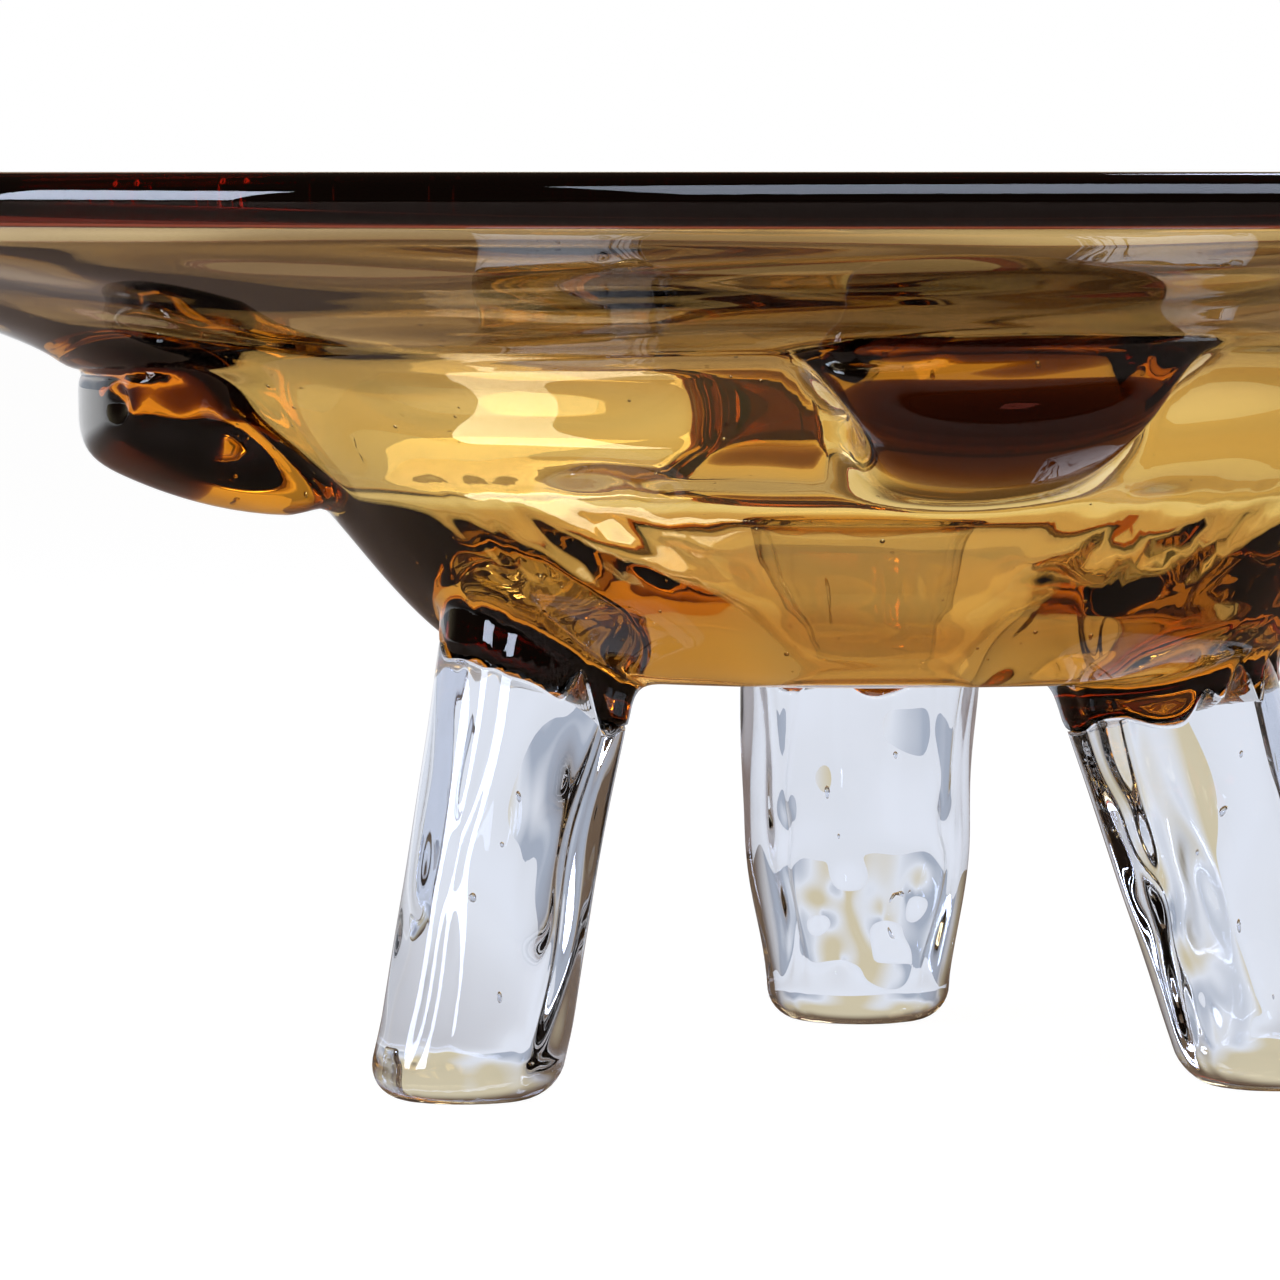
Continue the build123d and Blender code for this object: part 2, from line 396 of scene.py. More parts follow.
def blob(field, centre, rings, spokes, reach):
    """Closed surface of a field that is star-shaped about a centre."""
    rise = np.linspace(-90, 90, rings + 2)[1:-1]
    around = np.linspace(0, 360, spokes, endpoint=False)
    e, a = np.meshgrid(np.radians(rise), np.radians(around), indexing="ij")
    ways = np.stack([np.cos(e) * np.cos(a), np.cos(e) * np.sin(a), np.sin(e)], -1).reshape(-1, 3)
    ways = np.concatenate([ways, [[0, 0, -1.0], [0, 0, 1.0]]])
    near, far = np.zeros(len(ways)), np.full(len(ways), float(reach))
    for _ in range(30):
        middle = (near + far) / 2
        inside = field(centre + middle[:, None] * ways) < 0
        near, far = np.where(inside, middle, near), np.where(inside, far, middle)
    return centre + near[:, None] * ways, closed_faces(rings, spokes)


def amber_field(p):
    """Distance outside the fused amber glass, seen from below and from the sides."""
    r = np.hypot(p[:, 0], p[:, 1])
    wave = 0.20 * hand_waves(p[:, 0], p[:, 1], p[:, 2], 1.0) * ease(r, 20, 60)
    wave = wave + spun_lines(p[:, 0], p[:, 1], 0.4)
    level = wall_height(r) + sway(p[:, 0], p[:, 1])
    field = (level - p[:, 2]) / np.sqrt(1 + wall_slope(r) ** 2) - wave
    for lug in LUGS.values():
        turn = math.radians(lug["angle"])
        middle = (LUG_ROOT * math.cos(turn), LUG_ROOT * math.sin(turn))
        field = join_near(field, p, middle, 62, lambda q: lug_field(q, lug), LUG_FILLET)
    for leg in LEGS.values():
        middle = leg_line(leg, UNDERSIDE)
        field = join_near(field, p, middle, 42, lambda q: collar_field(q, leg), COLLAR_FILLET)
    return field


def join_near(field, p, middle, reach, shape, size):
    """Joins a shape, worked out only for the points that it can reach."""
    near = np.hypot(p[:, 0] - middle[0], p[:, 1] - middle[1]) < reach
    field[near] = join(field[near], shape(p[near]), size)
    return field


def field_slope(field, p, step=0.05):
    """Gradient of a field, by central differences."""
    slope = np.empty_like(p)
    for axis in range(3):
        shift = np.zeros(3)
        shift[axis] = step
        slope[:, axis] = (field(p + shift) - field(p - shift)) / (2 * step)
    return slope


def onto(field, p, rounds):
    """Moves points along the field's slope until they lie on its zero surface."""
    for _ in range(rounds):
        slope = field_slope(field, p)
        size = np.maximum((slope ** 2).sum(1), 0.05)
        move = -(field(p) / size)[:, None] * slope
        length = np.maximum(np.linalg.norm(move, axis=1), 1e-9)
        p = p + move * np.minimum(1, 2.0 / length)[:, None]
    return p


def angle_rows(count):
    """Directions round the bowl, closer together at the lugs and the collars."""
    fine = np.linspace(0, 2 * np.pi, 7201)
    density = np.ones_like(fine)
    for thing, extra in [(n, 0.9) for n in LUGS.values()] + [(n, 0.7) for n in LEGS.values()]:
        density += extra * np.exp(-(turned(fine, thing["angle"]) / 17.0) ** 4)
    total = np.concatenate([[0], np.cumsum((density[1:] + density[:-1]) / 2)])
    return np.interp(np.arange(count) / count, total / total[-1], fine)


def outer_face(rings, spokes):
    """The amber glass from the middle of its underside out to the lip: rings x spokes points."""
    radii = np.concatenate([
        np.linspace(2.5, 32, rings[0], endpoint=False),
        np.linspace(32, 118, rings[1], endpoint=False),
        np.linspace(118, LIP_ROOT, rings[2]),
    ])
    around = angle_rows(spokes)
    r, a = np.meshgrid(radii, around, indexing="ij")
    grid = np.stack([r * np.cos(a), r * np.sin(a), wall_height(r)], -1)
    flat = grid.reshape(-1, 3)

    # Points inside a lug leave it along the lug, and points inside a collar leave it downwards
    for lug in LUGS.values():
        turn = math.radians(lug["angle"])
        way = np.array([math.cos(turn), math.sin(turn), -0.12])
        for _ in range(PUSH_STEPS):
            inside = lug_field(flat, lug) < -0.4
            if not inside.any():
                break
            flat[inside] += way * 0.8
    for leg in LEGS.values():
        for _ in range(PUSH_STEPS):
            inside = collar_field(flat, leg) < -0.4
            if not inside.any():
                break
            flat[inside] -= np.array([0, 0, 0.5])

    reach = r.reshape(-1)
    near = (reach > 20) & (reach < 150)
    hold = (ease(reach, 20, 30) * (1 - ease(reach, 128, 145)))[:, None]
    for _ in range(RELAX_ROUNDS):
        grid = flat.reshape(r.shape + (3,))
        middle = grid.copy()
        middle[1:-1] = (grid[2:] + grid[:-2] + np.roll(grid, 1, 1)[1:-1] + np.roll(grid, -1, 1)[1:-1]) / 4
        moved = flat + RELAX_SHARE * hold * (middle.reshape(-1, 3) - flat)
        moved[near] = onto(amber_field, moved[near], 1)
        flat = moved
    flat = onto(amber_field, flat, 4)
    grid = flat.reshape(r.shape + (3,))
    grid[-1] = np.stack([LIP_ROOT * np.cos(around), LIP_ROOT * np.sin(around),
                         np.full(spokes, float(wall_height(np.array(LIP_ROOT))))], -1)
    return grid, around


def inner_face(rings, around):
    """The amber glass from the middle of its floor out to the lip: rings x spokes points."""
    radii = np.concatenate([
        np.linspace(2.5, 60, rings // 4, endpoint=False),
        np.linspace(60, LIP_ROOT, rings - rings // 4),
    ])
    r, a = np.meshgrid(radii, around, indexing="ij")
    x, y = r * np.cos(a), r * np.sin(a)
    height = (0.14 + 0.10 * ease(r, 110, 130)) * ease(r, 10, 50) * (1 - ease(r, 165, 178))
    wave = height * hand_waves(x, y, r, 2.7) + spun_lines(x, y, 2.2)
    return np.stack([x, y, inner_height(x, y) + wave], -1)


def ring_faces(rows, spokes):
    """Quads between neighbouring rings of points."""
    i, j = np.meshgrid(np.arange(rows - 1), np.arange(spokes), indexing="ij")
    here, right = i * spokes + j, i * spokes + (j + 1) % spokes
    return np.stack([here, right, right + spokes, here + spokes], -1).reshape(-1, 4)


def fan_faces(centre, start, spokes, flip):
    """Triangles from one point to a ring of points."""
    ring = start + np.arange(spokes)
    following = start + (np.arange(spokes) + 1) % spokes
    if flip:
        ring, following = following, ring
    return [(centre, int(a), int(b)) for a, b in zip(ring, following)]


def closed_faces(rows, spokes):
    """Faces of rings that are closed by two end points, numbered after the rings' own."""
    count = rows * spokes
    return (ring_faces(rows, spokes).tolist() + fan_faces(count, 0, spokes, True)
            + fan_faces(count + 1, count - spokes, spokes, False))


def seed_tree():
    """Bubbles scattered over a sheet inside the glass, with their faces turned to the air in them."""
    tree = bpy.data.node_groups.new("glass_seeds", "GeometryNodeTree")
    for name, kind in [("Geometry", "Geometry"), ("Smallest", "Float"), ("Largest", "Float"),
                       ("Stretch", "Float"), ("Spacing", "Float"), ("Density", "Float"),
                       ("Seed", "Int"), ("Material", "Material")]:
        tree.interface.new_socket(name, in_out="INPUT", socket_type="NodeSocket" + kind)
    tree.interface.new_socket("Geometry", in_out="OUTPUT", socket_type="NodeSocketGeometry")
    given = add_node(tree, "NodeGroupInput").outputs
    spots = add_node(tree, "GeometryNodeDistributePointsOnFaces", {"distribute_method": "POISSON"},
                     {"Mesh": given["Geometry"], "Distance Min": given["Spacing"],
                      "Density Max": given["Density"], "Seed": given["Seed"]})
    ball = add_node(tree, "GeometryNodeMeshIcoSphere", {"Radius": 1.0, "Subdivisions": 2})
    inward = add_node(tree, "GeometryNodeFlipFaces", None, {"Mesh": ball.outputs["Mesh"]})
    size = add_node(tree, "FunctionNodeRandomValue", {"data_type": "FLOAT"},
                    {2: given["Smallest"], 3: given["Largest"], "Seed": given["Seed"]})
    tall = add_node(tree, "ShaderNodeMath", {"operation": "MULTIPLY"},
                    {0: size.outputs[1], 1: given["Stretch"]})
    scale = add_node(tree, "ShaderNodeCombineXYZ", None,
                     {"X": size.outputs[1], "Y": size.outputs[1], "Z": tall.outputs[0]})
    placed = add_node(tree, "GeometryNodeInstanceOnPoints", None,
                      {"Points": spots.outputs["Points"], "Instance": inward.outputs["Mesh"],
                       "Scale": scale.outputs["Vector"]})
    real = add_node(tree, "GeometryNodeRealizeInstances", None, {"Geometry": placed.outputs["Instances"]})
    coated = add_node(tree, "GeometryNodeSetMaterial", None,
                      {"Geometry": real.outputs["Geometry"], "Material": given["Material"]})
    add_node(tree, "NodeGroupOutput", None, {"Geometry": coated.outputs["Geometry"]})
    return tree


def seeds(sheet, sheet_faces, material, **sizes):
    """Points and faces of the bubbles on a sheet, in millimetres."""
    tree = bpy.data.node_groups.get("glass_seeds") or seed_tree()
    carrier = new_object("seed_sheet", new_mesh("seed_sheet", sheet, sheet_faces), material)
    scatter = carrier.modifiers.new("seeds", "NODES")
    scatter.node_group = tree
    given = {"Material": material, **sizes}
    for item in tree.interface.items_tree:
        if item.in_out == "INPUT" and item.name in given:
            scatter[item.identifier] = given[item.name]
    evaluated = carrier.evaluated_get(bpy.context.evaluated_depsgraph_get())
    mesh = bpy.data.meshes.new_from_object(evaluated)
    points = np.array([tuple(v.co) for v in mesh.vertices]).reshape(-1, 3) / MM
    faces = [tuple(p.vertices) for p in mesh.polygons]
    sheet_mesh = carrier.data
    bpy.data.objects.remove(carrier)
    bpy.data.meshes.remove(sheet_mesh)
    bpy.data.meshes.remove(mesh)
    return points, faces


def with_seeds(points, faces, bubbles):
    """A piece's points and faces, with the bubbles' added."""
    first = len(points)
    extra = [tuple(first + n for n in face) for face in bubbles[1]]
    return np.concatenate([points, bubbles[0]]), [tuple(f) for f in faces] + extra


def new_mesh(name, points, faces, smooth=True):
    """A mesh in metres from points in millimetres."""
    mesh = bpy.data.meshes.new(name)
    mesh.from_pydata((np.asarray(points) * MM).tolist(), [], [tuple(int(n) for n in f) for f in faces])
    mesh.validate()
    if smooth:
        mesh.shade_smooth()
    return mesh


def new_object(name, mesh, material):
    """An object in the scene, with its one material."""
    obj = bpy.data.objects.new(name, mesh)
    bpy.context.scene.collection.objects.link(obj)
    mesh.materials.append(material)
    return obj


# ---- Materials ----

def add_node(tree, kind, settings=None, links=None):
    """Adds a node, sets its properties and sockets, and links its inputs."""
    node = tree.nodes.new(kind)
    for key, value in (settings or {}).items():
        if isinstance(key, int) or key in node.inputs:
            node.inputs[key].default_value = value
        else:
            setattr(node, key, value)
    for key, source in (links or {}).items():
        tree.links.new(source, node.inputs[key])
    return node


def empty_material(name):
    """A material without nodes, and its node tree."""
    material = bpy.data.materials.new(name)
    material.use_nodes = True
    material.node_tree.nodes.clear()
    return material, material.node_tree


# The amber's skin at each height: deep orange at the heel with a darker band at about 67 mm that is
# painted shade, clear gold on the wall, smoky brown below the lip, and a pale line at the joint
AMBER_TINTS_AND_PAINTED_SHADE = ((58, "EAD2AC"), (63, "EBD6AE"), (67, "DDC096"), (72, "FFF6D6"), (96, "FFF6D6"),
                (106, "E4D4BA"), (113, "AE9C84"), (121.5, "8C795F"), (124, "EEE0C4"), (126, "F2E6CC"))
DRIFT = 12.0        # how far these shades wander up and down
DRIFT_SIZE = 70.0   # and over what distance


def glass(name, tint, colour=(1, 1, 1), density=0.0, wave_mm=30.0, wave_height=0.0, ior=1.5, shades=()):
    """Fire-polished glass: tinted skin, and a colour that deepens with the glass it passes."""
    material, tree = empty_material(name)
    where = add_node(tree, "ShaderNodeTexCoord")
    waves = add_node(tree, "ShaderNodeTexNoise",
                     {"Scale": 1 / (wave_mm * MM), "Detail": 1.5, "Roughness": 0.4},
                     {"Vector": where.outputs["Object"]})
    bump = add_node(tree, "ShaderNodeBump", {"Strength": 1.0, "Distance": wave_height * MM},
                    {"Height": waves.outputs["Fac"]})
    skin = add_node(tree, "ShaderNodeBsdfPrincipled",
                    {"Base Color": (*tint, 1), "Roughness": 0.0, "IOR": ior, "Transmission Weight": 1.0},
                    {"Normal": bump.outputs["Normal"]})
    if shades:
        tree.links.new(shade_by_height(tree, where.outputs["Object"], shades), skin.inputs["Base Color"])
    out = add_node(tree, "ShaderNodeOutputMaterial", None, {"Surface": skin.outputs["BSDF"]})
    if density > 0:
        body = add_node(tree, "ShaderNodeVolumeAbsorption", {"Color": (*colour, 1), "Density": density})
        tree.links.new(body.outputs["Volume"], out.inputs["Volume"])
    return material


def shade_by_height(tree, place, shades):
    """A colour for each height, with levels that wander as they do in hand-worked glass."""
    axes = add_node(tree, "ShaderNodeSeparateXYZ", None, {0: place})
    drift = add_node(tree, "ShaderNodeTexNoise", {"Scale": 1 / (DRIFT_SIZE * MM), "Detail": 1.0},
                     {"Vector": place})
    height = add_node(tree, "ShaderNodeMath", {"operation": "MULTIPLY_ADD", 1: DRIFT * MM},
                      {0: drift.outputs["Fac"], 2: axes.outputs["Z"]})
    low, high = shades[0][0], shades[-1][0]
    share = add_node(tree, "ShaderNodeMapRange",
                     {"From Min": (low + DRIFT / 2) * MM, "From Max": (high + DRIFT / 2) * MM},
                     {"Value": height.outputs[0]})
    shade = add_node(tree, "ShaderNodeValToRGB", None, {"Fac": share.outputs["Result"]})
    shade.color_ramp.interpolation = "EASE"
    stops = shade.color_ramp.elements
    while len(stops) < len(shades):
        stops.new(0.5)
    for stop, (z, code) in zip(stops, shades):
        stop.position = (z - low) / (high - low)
        stop.color = (*rgb(code), 1)
    return shade.outputs["Color"]


# ---- Settings ----

class BowlSettings(bpy.types.PropertyGroup):
    amber_tint: FloatVectorProperty(
        name="Amber tint", description="Colour of thin amber glass", subtype="COLOR",
        size=3, default=rgb("FFF6D6"))
    amber_colour: FloatVectorProperty(
        name="Amber", description="Colour that thick amber glass lets through", subtype="COLOR",
        size=3, default=rgb("F6D600"))
    amber_density: FloatProperty(
        name="Amber depth", description="How fast the amber glass deepens, per metre", default=100.0)
    lip_density: FloatProperty(
        name="Lip depth", description="How fast the lip's glass deepens, per metre", default=330.0)
    core_density: FloatProperty(
        name="Core depth", description="How fast the lugs' dark gathers deepen, per metre", default=400.0)
    camera_distance: FloatProperty(
        name="Camera distance", description="From the bowl's axis to the camera",
        default=1.160, subtype="DISTANCE", unit="LENGTH")
    camera_side: FloatProperty(
        name="Camera side", description="How far the camera stands left of the bowl's axis",
        default=0.0336, subtype="DISTANCE", unit="LENGTH")
    camera_lens: FloatProperty(name="Lens", description="Focal length", default=225.0, unit="CAMERA")
    camera_pitch: FloatProperty(
        name="Camera pitch", description="How far the camera looks down",
        default=math.radians(3.35), subtype="ANGLE")
    seed_smallest: FloatProperty(
        name="Smallest seed", description="Radius of the smallest bubbles in the amber glass",
        default=0.12 * MM, subtype="DISTANCE", unit="LENGTH", precision=5)
    seed_largest: FloatProperty(
        name="Largest seed", description="Radius of the largest bubbles in the amber glass",
        default=0.40 * MM, subtype="DISTANCE", unit="LENGTH", precision=5)
    seed_density: FloatProperty(
        name="Seeds", description="Bubbles for each square metre of the amber glass", default=3200.0)
    spokes: IntProperty(name="Spokes", description="Points round the amber glass", default=420)


# ---- Operators ----

FLOOR_HALF = 6000.0     # from the floor's middle to its edge, in millimetres
# The pale wall behind: cool grey, white and cream patches, which the clear legs pick up
WALL_SHADES = ((0.42, "BCC3CE"), (0.48, "FCFDFF"), (0.57, "EADBB6"))
LAMP_COLOUR = "D8E2F8"  # daylight
LAMP_TARGET = Vector((0, 0, 0.09))
LIGHT_BOUNCES = 32      # light that is caught in the glass turns many times before it leaves


class GLASSBOWL_OT_stage(bpy.types.Operator):
    """Makes the floor, the studio's light and the camera"""
    bl_idname = "glassbowl.stage"
    bl_label = "Stage"

    def execute(self, context):
        settings = context.scene.glass_bowl
        camera = bpy.data.cameras.new("camera")
        camera.lens = settings.camera_lens
        camera.sensor_width = 36
        camera.clip_end = 20
        eye = bpy.data.objects.new("camera", camera)
        context.scene.collection.objects.link(eye)
        eye.location = (-settings.camera_side, -settings.camera_distance, RIM_TOP * MM)
        eye.rotation_euler = (math.pi / 2 - settings.camera_pitch, 0, 0)
        context.scene.camera = eye
        self.floor(context)
        self.world(context)
        self.lamps(context)
        context.scene.view_settings.view_transform = "Standard"
        context.scene.cycles.max_bounces = LIGHT_BOUNCES
        context.scene.cycles.transmission_bounces = LIGHT_BOUNCES
        context.scene.cycles.transparent_max_bounces = 16
        return {"FINISHED"}

    def floor(self, context):
        """A matt white floor that keeps the bowl's shadow and shows white in the glass."""
        material, tree = empty_material("matt_white_floor")
        path = add_node(tree, "ShaderNodeLightPath")
        where = add_node(tree, "ShaderNodeTexCoord")
        axes = add_node(tree, "ShaderNodeSeparateXYZ", None, {0: where.outputs["Object"]})
        # Behind the bowl the floor is a lit sweep of paper, which glass shows and mirrors. In front it
        # is plain floor, darker where the glass mirrors the room
        shares = []
        for ray, start, stop in [("Is Transmission Ray", -0.30, 0.20), ("Is Glossy Ray", 0.20, 1.60)]:
            behind = add_node(tree, "ShaderNodeMapRange",
                              {"interpolation_type": "SMOOTHSTEP", "From Min": start, "From Max": stop},
                              {"Value": axes.outputs["Y"]})
            share = add_node(tree, "ShaderNodeMath", {"operation": "MULTIPLY"},
                             {0: path.outputs[ray], 1: behind.outputs["Result"]})
            shares.append(share.outputs[0])
        lit = add_node(tree, "ShaderNodeMath", {"operation": "MAXIMUM"}, {0: shares[0], 1: shares[1]})
        seen = add_node(tree, "ShaderNodeMath", {"operation": "MAXIMUM"},
                        {0: path.outputs["Is Camera Ray"], 1: lit.outputs[0]})
        dull = add_node(tree, "ShaderNodeMix",
                        {"data_type": "RGBA", 6: (*rgb("E7E7E7"), 1), 7: (*rgb("8C7868"), 1)},
                        {0: path.outputs["Is Glossy Ray"]})
        paint = add_node(tree, "ShaderNodeBsdfDiffuse", None, {"Color": dull.outputs[2]})
        soft = add_node(tree, "ShaderNodeBsdfDiffuse", {"Color": (*rgb("595959"), 1)})
        pale = add_node(tree, "ShaderNodeMix",
                        {"data_type": "RGBA", 6: (*rgb("FCFDFF"), 1), 7: (*rgb("FFFFFF"), 1)},
                        {0: path.outputs["Is Camera Ray"]})
        glow = add_node(tree, "ShaderNodeEmission", {"Strength": 0.97}, {"Color": pale.outputs[2]})
        both = add_node(tree, "ShaderNodeAddShader", None, {0: soft.outputs[0], 1: glow.outputs[0]})
        mix = add_node(tree, "ShaderNodeMixShader", None,
                       {0: seen.outputs[0], 1: paint.outputs[0], 2: both.outputs[0]})
        add_node(tree, "ShaderNodeOutputMaterial", None, {"Surface": mix.outputs[0]})
        points = [(x * FLOOR_HALF, y * FLOOR_HALF, 0) for x, y in ((-1, -1), (1, -1), (1, 1), (-1, 1))]
        mesh = new_mesh("floor", points, [(0, 1, 2, 3)], smooth=False)
        new_object("floor", mesh, material)

    def world(self, context):
        """White to the camera. Glass shows a pale wall behind it, and a dim room in front."""
        world = bpy.data.worlds.new("studio")
        context.scene.world = world
        world.use_nodes = True
        tree = world.node_tree
        tree.nodes.clear()
        path = add_node(tree, "ShaderNodeLightPath")
        way = add_node(tree, "ShaderNodeTexCoord")
        axes = add_node(tree, "ShaderNodeSeparateXYZ", None, {0: way.outputs["Generated"]})
        behind = add_node(tree, "ShaderNodeMapRange",
                          {"interpolation_type": "SMOOTHSTEP"}, {"Value": axes.outputs["Y"]})
        for socket, clear, mirrored in [("From Min", -0.65, 0.30), ("From Max", 0.05, 0.90)]:
            edge = add_node(tree, "ShaderNodeMix", {2: clear, 3: mirrored},
                            {0: path.outputs["Is Glossy Ray"]})
            tree.links.new(edge.outputs[0], behind.inputs[socket])
        patches = add_node(tree, "ShaderNodeTexNoise", {"Scale": 1.6, "Detail": 1.0},
                           {"Vector": way.outputs["Generated"]})
        tint = add_node(tree, "ShaderNodeValToRGB", None, {"Fac": patches.outputs["Fac"]})
        stops = tint.color_ramp.elements
        stops.new(0.5)
        for stop, (place, code) in zip(stops, WALL_SHADES):
            stop.position, stop.color = place, (*rgb(code), 1)
        low = add_node(tree, "ShaderNodeMapRange",
                       {"interpolation_type": "SMOOTHSTEP", "From Min": 0.28, "From Max": 0.50,
                        "To Min": 1.0, "To Max": 0.0},
                       {"Value": axes.outputs["Z"]})
        sheet = add_node(tree, "ShaderNodeMath", {"operation": "MULTIPLY"},
                         {0: behind.outputs["Result"], 1: low.outputs["Result"]})
        front = add_node(tree, "ShaderNodeMix",
                         {"data_type": "RGBA", 6: (*rgb("4A3A30"), 1), 7: (*rgb("75604C"), 1)},
                         {0: path.outputs["Is Transmission Ray"]})
        shade = add_node(tree, "ShaderNodeMix", {"data_type": "RGBA"},
                         {0: sheet.outputs[0], 6: front.outputs[2], 7: tint.outputs["Color"]})
        soft = add_node(tree, "ShaderNodeBackground", {"Strength": 1.0}, {"Color": shade.outputs[2]})
        white = add_node(tree, "ShaderNodeBackground", {"Color": (*rgb("FFFFFF"), 1), "Strength": 1.0})
        mix = add_node(tree, "ShaderNodeMixShader", None,
                       {0: path.outputs["Is Camera Ray"], 1: soft.outputs[0], 2: white.outputs[0]})
        add_node(tree, "ShaderNodeOutputWorld", None, {"Surface": mix.outputs[0]})

    def lamps(self, context):
        """Soft area lamps: where each stands, its size in metres and its power in watts."""
        for name, place, size, power in [
            ("window", (-1.05, -0.55, 0.42), (0.50, 0.60), 14.0),
            ("front_softbox", (0.25, -0.85, 0.95), (1.50, 0.80), 22.0),
            ("back_softbox", (0.44, 0.82, 1.17), (0.50, 0.30), 4.5),
        ]:
            lamp = bpy.data.lights.new(name, "AREA")
            lamp.shape = "RECTANGLE"
            lamp.size, lamp.size_y = size
            lamp.energy = power
            lamp.color = rgb(LAMP_COLOUR)
            obj = bpy.data.objects.new(name, lamp)
            context.scene.collection.objects.link(obj)
            obj.location = place
            obj.visible_camera = False
            obj.rotation_euler = (LAMP_TARGET - obj.location).to_track_quat("-Z", "Y").to_euler()


class GLASSBOWL_OT_amber(bpy.types.Operator):
    """Makes the bowl, its lugs and its collars as the one fused amber form that they are"""
    bl_idname = "glassbowl.amber"
    bl_label = "Amber bowl"

    def execute(self, context):
        settings = context.scene.glass_bowl
        spokes = settings.spokes
        outer, around = outer_face(OUTER_RINGS, spokes)
        inner = inner_face(INNER_RINGS, around)
        ends = [[0, 0, UNDERSIDE], [0, 0, UNDERSIDE + FLOOR_GLASS]]
        points = np.concatenate([outer.reshape(-1, 3), inner[::-1].reshape(-1, 3), ends])
        faces = closed_faces(len(outer) + len(inner), spokes)
        # Transparent amber glass, fire-polished: a wet shine with soft ripples, gold where it is thin
        # and brown where light runs along inside it
        # Its skin colour by height includes a band of painted shade low on the wall
        material = glass("blown_amber_glass", settings.amber_tint, settings.amber_colour,
                         settings.amber_density, wave_mm=26.0, wave_height=0.03, shades=AMBER_TINTS_AND_PAINTED_SHADE)
        points, faces = with_seeds(points, faces, self.bubbles(settings, material))
        mesh = new_mesh("amber_bowl", points, faces)
        bowl = new_object("amber_bowl", mesh, material)
        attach(bowl, "root")
        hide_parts("bowl", *LUGS, *("leg_seat_" + n for n in LEGS))
        return {"FINISHED"}

    def bubbles(self, settings, material):
        """Bubbles on a sheet that lies between the outer face and the inner one."""
        around = np.linspace(0, 2 * np.pi, SEED_GRID[1], endpoint=False)
        r, a = np.meshgrid(np.linspace(*SEED_BAND, SEED_GRID[0]), around, indexing="ij")
        x, y = r * np.cos(a), r * np.sin(a)
        under, over = wall_height(r) + sway(x, y), inner_height(x, y)
        sheet = np.stack([x, y, under + SEED_DEPTH * (over - under)], -1).reshape(-1, 3)
        return seeds(sheet, ring_faces(*SEED_GRID), material, Smallest=settings.seed_smallest,
                     Largest=settings.seed_largest, Stretch=1.0, Spacing=2 * MM,
                     Density=settings.seed_density, Seed=7)


class GLASSBOWL_OT_cores(bpy.types.Operator):
    """Makes the darker gathers inside the lugs"""
    bl_idname = "glassbowl.cores"
    bl_label = "Dark cores"

    def execute(self, context):
        settings = context.scene.glass_bowl
        # A darker gather cased in the amber. The two are one body of glass, so light doesn't bend
        # where they meet, and the dark only deepens along the way through it
        material = glass("dark_cased_glass", rgb("FFFFFF"), rgb("AE7C3F"), settings.core_density, ior=1.0)
        for name, lug in LUGS.items():
            turn = math.radians(lug["angle"])
            out, up = CORE_MIDDLE
            centre = np.array([out * math.cos(turn), out * math.sin(turn), up + lug["lift"]])
            points, faces = blob(lambda p: lug_core_field(p, lug), centre, *CORE_GRID, CORE_REACH)
            core = new_object(name + "_core", new_mesh(name + "_core", points, faces), material)
            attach(core, "root")
        return {"FINISHED"}


class GLASSBOWL_OT_lip(bpy.types.Operator):
    """Makes the thick coil of darker glass at the rim"""
    bl_idname = "glassbowl.lip"
    bl_label = "Lip wrap"

    def execute(self, context):
        settings = context.scene.glass_bowl
        half = LIP_GLASS / 2
        mid = RIM_TOP - half
        crown = RIM_RADIUS - half
        root_low = float(wall_height(np.array(LIP_ROOT))) - mid
        root_high = float(inner_height(np.array(LIP_ROOT), np.array(0.0))) - mid
        run = np.linspace(LIP_ROOT - LIP_OVERLAP, crown, 10)
        rise = ease(run, LIP_ROOT, crown)
        turn = np.linspace(math.pi / 2, -math.pi / 2, 17)[1:-1]
        profile = [(r, root_low + (-half - root_low) * e) for r, e in zip(run, rise)]
        profile += [(crown + half * math.cos(t), -half * math.sin(t)) for t in turn]
        profile += [(r, root_high + (half - root_high) * e) for r, e in zip(run[::-1], rise[::-1])]
        profile = np.array(profile)
        around = np.linspace(0, 2 * np.pi, LIP_SPOKES, endpoint=False)
        points = np.stack([
            profile[:, :1] * np.cos(around),
            profile[:, :1] * np.sin(around),
            mid + np.repeat(profile[:, 1:], LIP_SPOKES, axis=1),
        ], -1)
        faces = ring_faces(len(profile), LIP_SPOKES).tolist()
        # The last ring of points is joined to the first
        closing = ring_faces(2, LIP_SPOKES)
        last = (len(profile) - 1) * LIP_SPOKES
        faces += np.where(closing >= LIP_SPOKES, closing - LIP_SPOKES, closing + last).tolist()
        mesh = new_mesh("lip_wrap_glass", points.reshape(-1, 3), faces)
        # A coil of strong brown colour, wound on hot: nearly black, and red-brown at its thin edge
        material = glass("dark_amber_lip_glass", rgb("E7B8A2"), rgb("CE7C59"), settings.lip_density,
                         wave_mm=30.0, wave_height=0.03)
        lip = new_object("lip_wrap_glass", mesh, material)
        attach(lip, "root")
        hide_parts("lip_wrap")
        return {"FINISHED"}


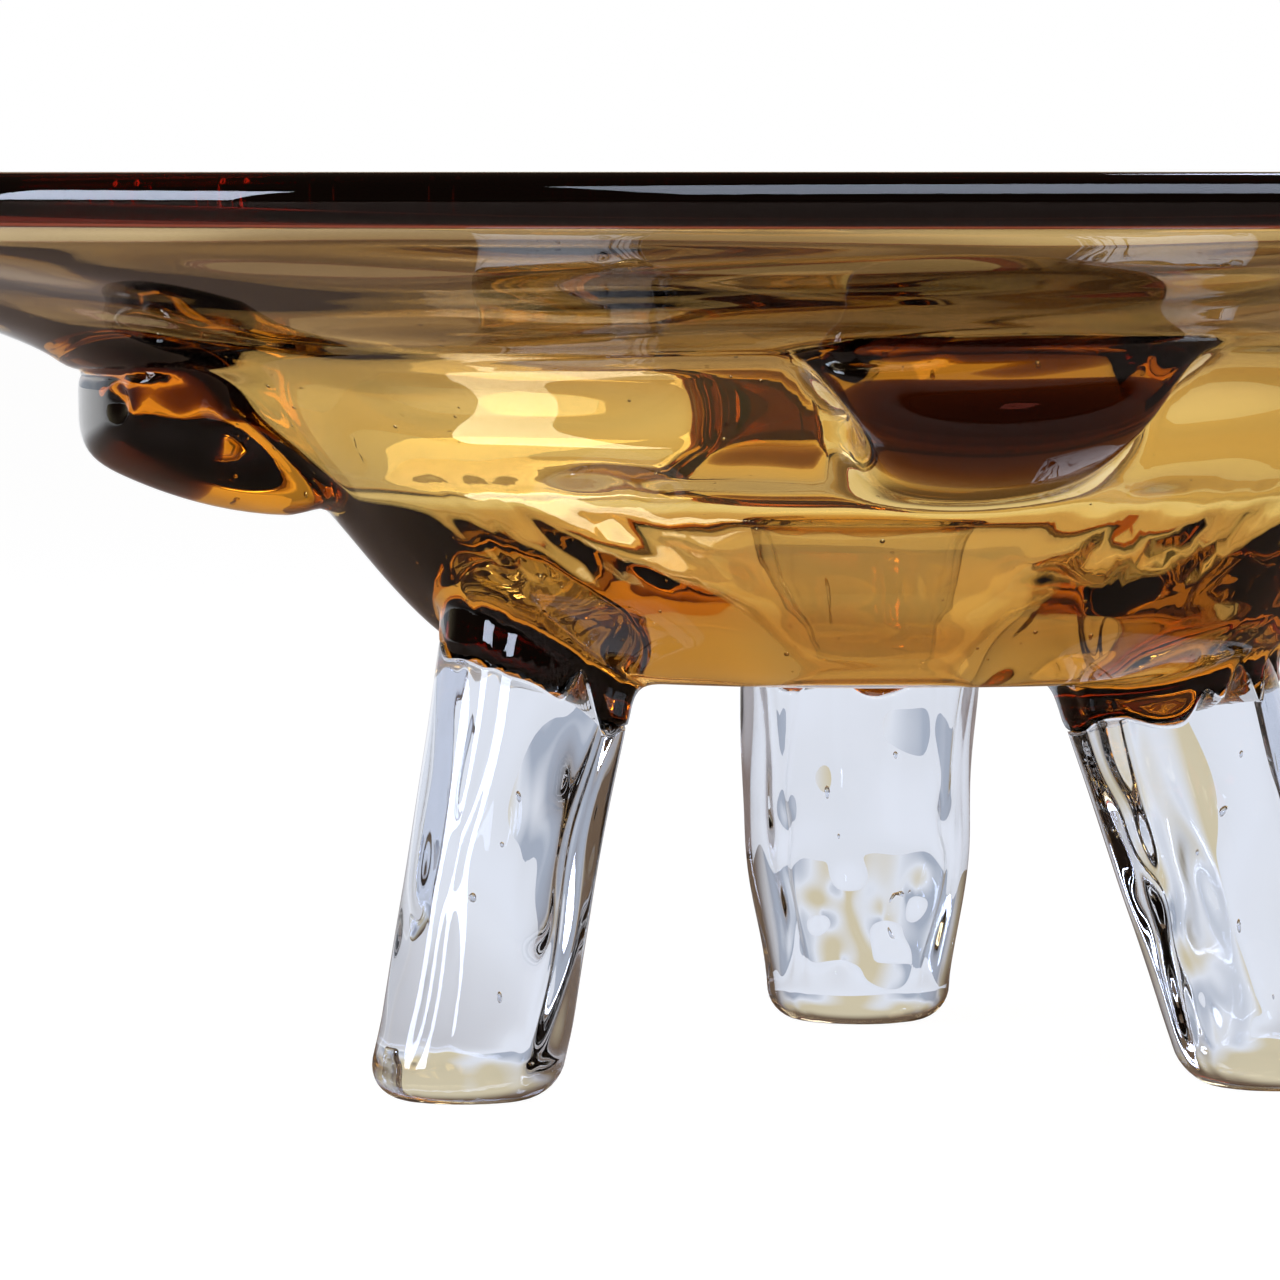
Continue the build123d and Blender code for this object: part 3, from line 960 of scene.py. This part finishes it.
class GLASSBOWL_OT_legs(bpy.types.Operator):
    """Makes the three solid clear legs, squeezed and ridged by hand"""
    bl_idname = "glassbowl.legs"
    bl_label = "Clear legs"

    def execute(self, context):
        # Solid crystal squeezed with tools while soft: clear, with a cool grey cast where it is thick
        material = glass("clear_sculpted_glass", rgb("E4E9F3"))
        for name, leg in LEGS.items():
            mesh = self.leg_mesh("clear_leg_" + name, leg, material)
            obj = new_object("clear_leg_" + name, mesh, material)
            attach(obj, "root")
            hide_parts("leg_" + name)
        return {"FINISHED"}

    def leg_mesh(self, name, leg, material):
        """A leg from its ground foot up to the face that is fused to the collar."""
        spokes, edge = LEG_SPOKES, FOOT_EDGE
        flat_rings, edge_rings, side_rings, top_rings = LEG_RINGS
        around = np.linspace(0, 2 * np.pi, spokes, endpoint=False)

        # Ground foot: flat middle, then a rounded edge
        foot = leg_radius(leg, 0.0 * around + edge, around)
        rows = [leg_ring(leg, share * (foot - edge), 0, around)
                for share in np.linspace(0.08, 1, flat_rings)]
        for turn in np.linspace(0, math.pi / 2, edge_rings + 1)[1:]:
            radius = foot - edge * (1 - math.sin(turn))
            rows.append(leg_ring(leg, radius, edge * (1 - math.cos(turn)), around))

        # Side, up to the fused face at each direction
        top = np.full(spokes, UNDERSIDE - leg["drop"])
        for _ in range(12):
            x, y, _ = leg_ring(leg, leg_radius(leg, top, around), top, around).T
            top = collar_level(leg, x, y) + LEG_OVERLAP
        for share in np.linspace(0, 1, side_rings + 1)[1:]:
            height = edge + share * (top - edge)
            rows.append(leg_ring(leg, leg_radius(leg, height, around), height, around))

        # Fused face
        outer = rows[-1]
        centre = outer.mean(0)
        for share in np.linspace(1, 0.06, top_rings + 1)[1:]:
            x, y, _ = (centre + share * (outer - centre)).T
            rows.append(np.stack([x, y, collar_level(leg, x, y) + LEG_OVERLAP], -1))
        ends = [[*leg_line(leg, 0), 0.0], [centre[0], centre[1], rows[-1][:, 2].mean()]]
        points = np.concatenate([*rows, ends])
        faces = closed_faces(len(rows), spokes)

        # Bubbles on a narrow sheet up the leg's middle, drawn out with the glass
        middles = [(np.array(leg_line(leg, z)), z) for z in (10, 48)]
        sheet = [(*(middle + side * np.array([5.0, 2.0])), z) for middle, z in middles for side in (-1, 1)]
        bubbles = seeds(sheet, [(0, 1, 3, 2)], material, Smallest=0.15 * MM, Largest=0.45 * MM,
                        Stretch=2.5, Spacing=4 * MM, Density=16000.0, Seed=int(10 * leg["phase"]))
        return new_mesh(name, *with_seeds(points, faces, bubbles))


class GLASSBOWL_PT_panel(bpy.types.Panel):
    """Lists the steps that make the bowl"""
    bl_label = "Glass Bowl"
    bl_idname = "GLASSBOWL_PT_panel"
    bl_space_type = "VIEW_3D"
    bl_region_type = "UI"
    bl_category = "Glass Bowl"

    def draw(self, context):
        settings = context.scene.glass_bowl
        for name in BowlSettings.__annotations__:
            self.layout.prop(settings, name)
        for step in STEPS:
            self.layout.operator(step.bl_idname)


STEPS = [GLASSBOWL_OT_stage, GLASSBOWL_OT_amber, GLASSBOWL_OT_cores, GLASSBOWL_OT_lip, GLASSBOWL_OT_legs]
CLASSES = [BowlSettings, *STEPS, GLASSBOWL_PT_panel]


def register():
    for cls in CLASSES:
        bpy.utils.register_class(cls)
    bpy.types.Scene.glass_bowl = PointerProperty(type=BowlSettings)


def unregister():
    del bpy.types.Scene.glass_bowl
    for cls in reversed(CLASSES):
        bpy.utils.unregister_class(cls)


def main():
    register()
    bpy.ops.glassbowl.stage()
    bpy.ops.glassbowl.amber()
    bpy.ops.glassbowl.cores()
    bpy.ops.glassbowl.lip()
    bpy.ops.glassbowl.legs()


if __name__ == "__main__":
    main()
